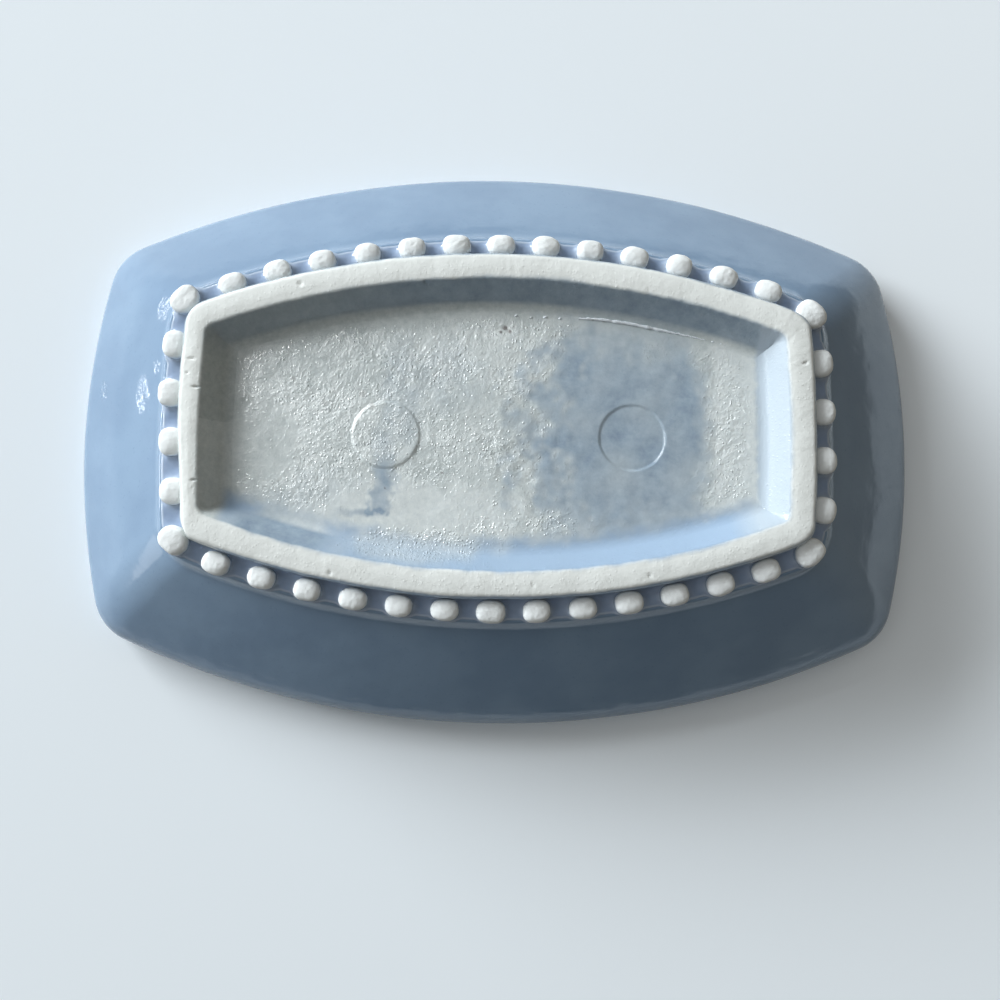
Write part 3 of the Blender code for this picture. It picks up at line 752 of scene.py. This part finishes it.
def band_reach(place, way):
    """How far the band's waved edge lies from a place on the foot's outline: close around each pearl."""
    total, weights = 0.0, 0.0
    for _, middle, half in pearls:
        away = middle - place
        if away.length < 9 * MM:
            aside = abs(away.cross(way)) / MM
            reach = away.dot(way) + half.y + BAND_MARGIN - BAND_WAVE * ramp(aside, 0.8, 3.1)
            weight = math.exp(-(aside / 1.4) ** 2)
            total, weights = total + reach * weight, weights + weight
    return max(BAND_LEAST, total / weights)


# The band's reach at each turn, kept because every ring asks for it again.
reaches = {}


def band_ring(depth, z, inner=None):
    """A ring of the band: `depth` in from its waved edge, or `inner` out from the foot, at height z."""
    def place_at(turn):
        foot = spot(FOOT, turn)
        way = (spot(grown(FOOT, 1.0 * MM), turn) - foot).normalized()
        if turn not in reaches:
            reaches[turn] = band_reach(foot, way)
        out = inner if inner is not None else reaches[turn] - depth
        return (foot + way * out).to_3d() + Vector((0, 0, z))
    return place_at


# Glaze pooled in the moat and fired glossy: a deeper, lilac blue in soft blotches, pale at the pearls' feet
# and over the edge.
band_glaze, place = new_material("pooled_lilac_blue_glaze")
vary = add_node(band_glaze, "TexNoise", {"Vector": place, "Scale": 0.6, "Detail": 3.0, "Roughness": 0.6})
deep = add_node(band_glaze, "Mix", {0: vary, 6: colour("#8497b3"), 7: colour("#a5b3c9")}, 2,
                data_type="RGBA")
thin = add_node(band_glaze, "Attribute", {}, "Fac", attribute_name="thin")
tint = add_node(band_glaze, "Mix", {0: thin, 6: deep, 7: colour("#cfd7de")}, 2, data_type="RGBA")
gloss = add_node(band_glaze, "BsdfPrincipled", {"Base Color": tint, "Roughness": 0.1, "IOR": 1.52})
add_node(band_glaze, "OutputMaterial", {"Surface": gloss})

band_rings = [band_ring(0, 4.6 * MM, -0.3 * MM), band_ring(0, BAND_Z - 0.1 * MM, -0.1 * MM)]
for inner in LEDGE_OUT:
    band_rings.append(band_ring(0, BAND_Z, inner * MM))
for depth in LEDGE_IN:
    band_rings.append(band_ring(depth * MM, BAND_Z))
ledge_rows = range(2, len(band_rings))
for step in range(7):
    angle = math.pi / 2 * step / 6
    fall = BAND_ARRIS * (1 - math.cos(angle))
    band_rings.append(band_ring(BAND_ARRIS * (1 - math.sin(angle)), BAND_Z + fall))
band_rings += [band_ring(0, 4.2 * MM), band_ring(-0.03 * MM, 4.6 * MM), band_ring(0, 5.5 * MM),
               band_ring(0, 5.5 * MM, 1.5 * MM), band_rings[0]]
bm = bmesh.new()
thin_layer = bm.verts.layers.float.new("thin")
sweep(bm, band_rings, FINE_STEPS)
row_layer = bm.verts.layers.float["row"]
for vert in bm.verts:
    row = round(vert[row_layer])
    vert[thin_layer] = (1 - ramp(abs(row - ledge_rows[-1] - 2.5), 0.8, 2.6)) * 0.5
    if row in ledge_rows:
        # On the ledge the glaze climbs up to 0.4 mm at a pearl's foot and 0.36 mm at the ring's.
        gap = pearl_gap(vert.co.to_2d())
        step = row - ledge_rows[0]
        foot_gap = step * 0.2 if step < len(LEDGE_OUT) else 1.2
        climb = 0.4 * math.exp(-max(gap, 0.0) / 0.5) + 0.36 * math.exp(-foot_gap / 0.35)
        hollow = 0.08 * ramp(gap, 0.0, 1.4) * ramp(ledge_rows[-1] - row, 0, 9)
        vert.co.z -= (climb * ramp(ledge_rows[-1] - row, -1, 3) - hollow) * MM
        vert[thin_layer] = max(vert[thin_layer], 0.55 * math.exp(-max(gap, 0.0) / 0.3))
swell(bm, 0.05 * MM, 1.3 * MM, 4.0)
pearl_band = finish_piece(bm, "pearl_band", band_glaze)
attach(pearl_band, "root")
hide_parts("bead_band")


# Pearls: flat-topped oval beads pressed with the foot, 13 on each long side, 4 on each end and a larger one
# at each corner. Their crests were wiped with the ring and are bare; the glaze lies blue around their feet.
PEARL_MIDDLE_Z = 3.45 * MM
PEARL_HALF_HEIGHT = 2.15 * MM
PEARL_UNEVENNESS = 0.09
# The powers that make a pearl's outline fuller than an oval and its top flat.
FULLNESS = 2.5
FLATNESS = 0.28
# White clay, wiped and fired bare on the crests: chalky and finely gritty, with a glossy blue skin of glaze
# that starts down their sides with a ragged edge.
pearl_clay, place = new_material("wiped_pearl_clay")
height = add_node(pearl_clay, "SeparateXYZ", {0: place}, "Z")
ragged = add_node(pearl_clay, "TexNoise", {"Vector": place, "Scale": 0.8, "Detail": 3.0})
ragged = add_node(pearl_clay, "Math", {0: ragged, 1: 1.2, 2: height}, operation="MULTIPLY_ADD")
glazed = add_node(pearl_clay, "MapRange", {"Value": ragged, "From Min": 2.45, "From Max": 3.45},
                  interpolation_type="SMOOTHSTEP")
grit = add_node(pearl_clay, "TexNoise", {"Vector": place, "Scale": 1.8, "Detail": 4.0, "Roughness": 0.7})
bare = add_node(pearl_clay, "Mix", {0: grit, 6: colour("#efefeb"), 7: colour("#fbfbf9")}, 2,
                data_type="RGBA")
tint = add_node(pearl_clay, "Mix", {0: glazed, 6: bare, 7: colour("#b3c1d4")}, 2, data_type="RGBA")
shine = add_node(pearl_clay, "MapRange", {"Value": glazed, "To Min": 0.6, "To Max": 0.14})
fine = add_node(pearl_clay, "TexNoise", {"Vector": place, "Scale": 2.4, "Detail": 4.0, "Roughness": 0.65})
bump = add_node(pearl_clay, "Bump", {"Strength": 0.5, "Distance": 0.15 * MM, "Height": fine})
gloss = add_node(pearl_clay, "BsdfPrincipled", {"Base Color": tint, "Roughness": shine, "IOR": 1.5,
                                                "Normal": bump})
add_node(pearl_clay, "OutputMaterial", {"Surface": gloss})

for number, (name, middle, half) in enumerate(pearls):
    uneven = [1 + PEARL_UNEVENNESS * noise.noise(Vector((number * 3.1, k * 2.3, 0.5))) for k in range(4)]
    bm = bmesh.new()
    bmesh.ops.create_uvsphere(bm, u_segments=48, v_segments=32, radius=1.0)
    for vert in bm.verts:
        x, y, z = vert.co
        fuller = math.hypot(x, y) / max(1e-6, (abs(x) ** FULLNESS + abs(y) ** FULLNESS) ** (1 / FULLNESS))
        merged = max(0.0, y) ** 2 if "corner" in name else 0.0
        vert.co = (x * fuller, y * fuller * (1 + 0.3 * merged),
                   math.copysign(abs(z) ** FLATNESS, z) * (1 + 0.25 * merged))
    size = Vector((half.x * uneven[0], half.y * uneven[1], PEARL_HALF_HEIGHT * uneven[2]))
    bmesh.ops.scale(bm, vec=size, verts=bm.verts)
    turn = math.atan2(pearl_ways[number].y, pearl_ways[number].x) + uneven[3] - 1
    seat = Matrix.Translation((middle.x, middle.y, PEARL_MIDDLE_Z)) @ Matrix.Rotation(turn, 4, "Z")
    bmesh.ops.transform(bm, matrix=seat, verts=bm.verts)
    swell(bm, 0.09 * MM, 1.8 * MM, 7.0)
    swell(bm, 0.04 * MM, 0.6 * MM, 9.0)
    pearl = finish_piece(bm, name.replace("bead", "pearl"), pearl_clay)
    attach(pearl, "root")
    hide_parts(name)


# Drain ribs: five low bars across the well, pressed with it and dipped in the same glaze, which keep the
# soap out of the water. The glaze runs thin and pale along their crests.
RIB_HALF = Vector((2.3, 17.0)) * MM
# How far a rib rises over the well's floor, in millimetres.
RIB_HEIGHT = 2.5
for number in range(1, 6):
    low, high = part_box(f"drain_rib_{number}")
    middle = (low + high).to_2d() / 2
    bm = bmesh.new()
    thin_layer = bm.verts.layers.float.new("thin")
    bmesh.ops.create_uvsphere(bm, u_segments=48, v_segments=24, radius=1.0)
    for vert in bm.verts:
        vert[thin_layer] = 0.45 * ramp(vert.co.z, 0.75, 1.0)
        to_end = math.copysign(RIB_HALF.y - RIB_HALF.x, vert.co.y) * (abs(vert.co.y) > 1e-6)
        vert.co.y = vert.co.y * RIB_HALF.x + to_end
        vert.co.x *= RIB_HALF.x
        vert.co.z = vert.co.z * RIB_HEIGHT * MM + WELL_FLOOR_Z
    bmesh.ops.translate(bm, vec=(middle.x, middle.y, 0), verts=bm.verts)
    rib = finish_piece(bm, f"soap_rib_{number}", dish_glaze)
    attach(rib, "root")
    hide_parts(f"drain_rib_{number}")


# Table and floor: the dish lies with its rim on a pale matt table in the photograph, and stands on a pale
# floor in the other views. Each is seen from its own side alone, only the table is mirrored in the glaze,
# and both let the lamps' light through to the dish.
TABLE_Z = 23.02 * MM
TABLE_EDGE = (0.16, 0.16, 2.0, 2.0, 0.02)
TABLE_STEPS = 240


def stage_material(name, tint, sheen, fade, rays):
    """A plain pale surface that only the rays named see, from its front alone, and that fades out.

    `fade` is the middle of the surface and how far from it the fading starts and stops, in millimetres.
    """
    material, place = new_material(name)
    surface = add_node(material, "BsdfPrincipled", {"Base Color": tint, "Roughness": 0.45,
                                                    "Specular IOR Level": sheen})
    seen = add_node(material, "LightPath", {}, rays[0])
    for ray in rays[1:]:
        other = add_node(material, "LightPath", {}, ray)
        seen = add_node(material, "Math", {0: seen, 1: other}, operation="MAXIMUM")
    back = add_node(material, "NewGeometry", {}, "Backfacing")
    front = add_node(material, "Math", {0: 1.0, 1: back}, operation="SUBTRACT")
    seen = add_node(material, "Math", {0: seen, 1: front}, operation="MULTIPLY")
    centred = add_node(material, "VectorMath", {0: place, 1: fade[0]}, operation="SUBTRACT")
    far = add_node(material, "VectorMath", {0: centred}, "Value", operation="LENGTH")
    kept = add_node(material, "MapRange", {"Value": far, "From Min": fade[1], "From Max": fade[2],
                                           "To Min": 1.0, "To Max": 0.0},
                    interpolation_type="SMOOTHSTEP")
    seen = add_node(material, "Math", {0: seen, 1: kept}, operation="MULTIPLY")
    clear = add_node(material, "BsdfTransparent", {})
    mixed = add_node(material, "MixShader", {0: seen, 1: clear, 2: surface})
    add_node(material, "OutputMaterial", {"Surface": mixed})
    return material


# A plain matt board: it is even and pale, takes the dish's soft shadow and gives no reflections.
table_finish = stage_material("pale_table", colour("#eff2f4"), 0.0, ((0.9, 8.7, 23.0), 126.0, 140.0),
                              ("Is Camera Ray", "Is Glossy Ray"))
# Plain painted card: even and pale, with a faint sheen.
floor_finish = stage_material("pale_floor", colour("#dfe2e2"), 0.3, ((0.0, 0.0, 0.0), 350.0, 900.0),
                              ("Is Camera Ray",))

bm = bmesh.new()
sweep(bm, [level(grown(RIM, -LIP_RADIUS), TABLE_Z), level(grown(RIM, 12 * MM), TABLE_Z),
           level(TABLE_EDGE, TABLE_Z)], TABLE_STEPS)
bmesh.ops.recalc_face_normals(bm, faces=bm.faces)
if bm.faces[:][0].normal.z > 0:
    bmesh.ops.reverse_faces(bm, faces=bm.faces)
table = add_piece(bm, "table", table_finish)

bm = bmesh.new()
bmesh.ops.create_grid(bm, x_segments=2, y_segments=2, size=1.0)
floor = add_piece(bm, "floor", floor_finish)


# Light: a soft window at the photograph's upper left, in a dim pale room. One lamp lights the matt surfaces
# from there, others show in the gloss, and one above the dish lights its upper side for the other views.
LAMP_DISTANCE = 2.2
MIDDLE = (0, 0, 0.01)


def add_lamp(name, way, size, power, seen_by, tint=(1.0, 1.0, 1.0), distance=LAMP_DISTANCE):
    """A rectangular lamp that faces the dish and is seen by "matte" surfaces, by "gloss" or by "all".

    `way` is its azimuth from -X towards -Y and its elevation below the dish, in degrees.
    """
    azimuth, elevation = (math.radians(angle) for angle in way)
    place = Vector((-math.cos(elevation) * math.cos(azimuth), -math.cos(elevation) * math.sin(azimuth),
                    -math.sin(elevation))) * distance
    lamp_data = bpy.data.lights.new(name, "AREA")
    lamp_data.shape = "RECTANGLE"
    lamp_data.size, lamp_data.size_y = size
    lamp_data.energy = power
    lamp_data.color = tint
    lamp = bpy.data.objects.new(name, lamp_data)
    bpy.context.scene.collection.objects.link(lamp)
    lamp.location = place
    lamp.rotation_euler = (Vector(MIDDLE) - place).to_track_quat("-Z", "Y").to_euler()
    lamp.visible_camera = False
    lamp.visible_diffuse = seen_by != "gloss"
    lamp.visible_glossy = seen_by != "matte"
    return lamp


add_lamp("window_below", (34.5, 21.5), (1.5, 0.8), 76.0, "matte", (0.92, 1.0, 1.06))
add_lamp("window_mirrored_in_glaze", (43, 11), (1.5, 0.5), 47.0, "gloss")
add_lamp("pale_wall_mirrored_in_glaze", (0, 13), (2.0, 0.9), 9.0, "gloss")
add_lamp("window_above", (49, -44), (1.2, 1.2), 38.0, "all", (0.98, 1.0, 1.0))


def light_only(lamp, pieces):
    """Lets a lamp light these pieces alone."""
    lamp.light_linking.receiver_collection = bpy.data.collections.new(lamp.name)
    for piece in pieces:
        lamp.light_linking.receiver_collection.objects.link(piece)


# The sandy floor and the thread of glaze sparkle in a high window, and the crawled spots of the dipped glaze
# glint in a small low one. Each of these two shows in its own pieces alone.
light_only(add_lamp("high_window_mirrored_in_grains", (35, 45), (1.0, 0.9), 85.0, "gloss"),
           (recess_base, glaze_run))
light_only(add_lamp("small_window_mirrored_in_glaze", (8, 8), (0.4, 0.3), 16.0, "gloss"),
           (glazed_dish, pearl_band))

# A pale wall close to the table's upper right corner softens the dish's shadow on that side.
light_only(add_lamp("pale_wall_beside_table", (158, 32), (0.3, 0.2), 0.08, "matte", (1.0, 0.97, 0.93), 0.3),
           (table,))

# The room: dim, warmer and brighter on the photograph's right, with a soft glow on the window's side that is
# the same above the dish and below it. The camera sees a plain pale backdrop in its place.
world = bpy.data.worlds.new("pale_room")
bpy.context.scene.world = world
world.use_nodes = True
world.node_tree.nodes.clear()
direction = add_node(world, "TexCoord", {}, "Generated")
direction = add_node(world, "VectorMath", {0: direction}, operation="NORMALIZE")
right, down, up = add_node(world, "SeparateXYZ", {0: direction}).node.outputs
up = add_node(world, "Math", {0: up}, operation="ABSOLUTE")
folded = add_node(world, "CombineXYZ", {0: right, 1: down, 2: up})
facing = add_node(world, "VectorMath", {0: folded, 1: (-0.75, -0.2, 0.63)}, "Value",
                  operation="DOT_PRODUCT")
lit = add_node(world, "MapRange", {"Value": facing, "From Min": 0.0, "From Max": 1.0})
warm = add_node(world, "MapRange", {"Value": right, "From Min": 0.2, "From Max": 1.0},
                interpolation_type="SMOOTHSTEP")
dim = add_node(world, "Mix", {0: warm, 6: (0.03, 0.031, 0.031, 1), 7: (0.20, 0.18, 0.14, 1)}, 2,
               data_type="RGBA")
glow = add_node(world, "Mix", {0: lit, 6: (0, 0, 0, 1), 7: (0.47, 0.50, 0.515, 1)}, 2, data_type="RGBA")
tint = add_node(world, "Mix", {0: 1.0, 6: dim, 7: glow}, 2, data_type="RGBA", blend_type="ADD")
camera_ray = add_node(world, "LightPath", {}, "Is Camera Ray")
room = add_node(world, "Background", {"Color": tint, "Strength": 1.0})
backdrop = add_node(world, "Background", {"Color": colour("#d6dadb"), "Strength": 1.0})
mixed = add_node(world, "MixShader", {0: camera_ray, 1: room, 2: backdrop})
add_node(world, "OutputWorld", {"Surface": mixed})

bpy.context.scene.view_settings.view_transform = "Standard"
